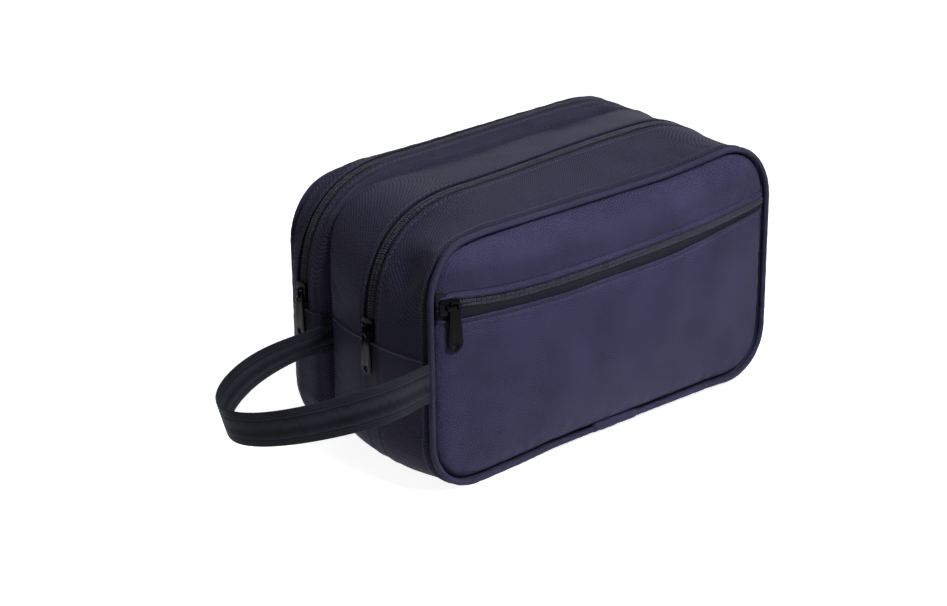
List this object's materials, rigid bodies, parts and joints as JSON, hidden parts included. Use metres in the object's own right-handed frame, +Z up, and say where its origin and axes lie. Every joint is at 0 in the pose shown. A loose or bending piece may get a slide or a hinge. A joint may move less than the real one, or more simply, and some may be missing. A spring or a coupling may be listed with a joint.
{
  "type": "toiletry bag",
  "caption": "Soft two-compartment toiletry bag with zips over the top, a zipped front pocket, piped edges and a webbing wrist strap at one end.",
  "frame": {"origin": "middle of the flat underside that the bag stands on, under the centre of its length and depth", "axes": "+X along the bag's length away from the wrist strap, +Y from the pocket side to the back, +Z up"},
  "size_m": [0.3519, 0.1423, 0.1541],
  "materials": {
    "bag_fabric": "coarse woven polyester with a satin sheen",
    "piping_fabric": "woven polyester over a cord",
    "lining": "thin plain lining",
    "binding_tape": "woven binding tape",
    "zip_tape": "close woven zip tape",
    "zip_coil": "smooth nylon coil",
    "webbing": "ribbed polyester webbing",
    "black_enamel": "glossy black enamel"
  },
  "bodies": {
    "bag": {"main_band_front": "bag_fabric", "main_band_rear": "bag_fabric", "main_base": "bag_fabric", "main_zip_tape_front": "zip_tape", "main_zip_tape_rear": "zip_tape", "main_zip_coil_front": "zip_coil", "main_zip_coil_rear": "zip_coil", "divider_panel": "lining", "rear_band_front": "bag_fabric", "rear_band_rear": "bag_fabric", "rear_base": "bag_fabric", "rear_zip_tape_front": "zip_tape", "rear_zip_tape_rear": "zip_tape", "rear_zip_coil_front": "zip_coil", "rear_zip_coil_rear": "zip_coil", "back_panel": "bag_fabric", "front_backing_panel": "lining", "front_pocket_panel": "bag_fabric", "front_upper_panel": "bag_fabric", "pocket_zip_tape_upper": "zip_tape", "pocket_zip_tape_lower": "zip_tape", "pocket_zip_coil_upper": "zip_coil", "pocket_zip_coil_lower": "zip_coil", "front_piping": "piping_fabric", "front_piping_join": "piping_fabric", "back_piping": "piping_fabric", "front_seam_binding": "binding_tape", "mid_seam_binding_front": "binding_tape", "mid_seam_binding_rear": "binding_tape", "back_seam_binding": "binding_tape"},
    "pocket_runner": {"pocket_slider": "black_enamel"},
    "pocket_tab": {"pocket_pull": "black_enamel"},
    "main_runner": {"main_slider": "black_enamel"},
    "main_tab": {"main_pull": "black_enamel"},
    "rear_runner": {"rear_slider": "black_enamel"},
    "rear_tab": {"rear_pull": "black_enamel"},
    "strap": {"handle_strap": "webbing"}
  },
  "joints": [
    {"name": "pocket_slider_travel", "type": "hinge", "parent": "bag", "child": "pocket_runner", "pos_m": [0, 0.45333, 0.1096], "axis": [0, 0, 1], "range_deg": [0, 24.4]},
    {"name": "pocket_pull_swivel", "type": "hinge", "parent": "pocket_runner", "child": "pocket_tab", "pos_m": [-0.1113, -0.06571, 0.1096], "axis": [-0.2139, -0.9769, 0], "range_deg": [-15, 90]},
    {"name": "main_slider_travel", "type": "hinge", "parent": "bag", "child": "main_runner", "pos_m": [-0.0655, -0.017, 0.087], "axis": [0, 1, 0], "range_deg": [0, 90]},
    {"name": "main_pull_swing", "type": "hinge", "parent": "main_runner", "child": "main_tab", "pos_m": [-0.13295, -0.017, 0.086], "axis": [0, 1, 0], "range_deg": [0, 175]},
    {"name": "rear_slider_travel", "type": "hinge", "parent": "bag", "child": "rear_runner", "pos_m": [-0.0655, 0.043, 0.089], "axis": [0, 1, 0], "range_deg": [0, 90]},
    {"name": "rear_pull_swing", "type": "hinge", "parent": "rear_runner", "child": "rear_tab", "pos_m": [-0.13295, 0.043, 0.088], "axis": [0, 1, 0], "range_deg": [0, 175]},
    {"name": "strap_swing", "type": "hinge", "parent": "bag", "child": "strap", "pos_m": [-0.1253, -0.017, 0.067], "axis": [0, 1, 0], "range_deg": [-15, 30], "stiffness_Nm_per_rad": 0.3}
  ]
}
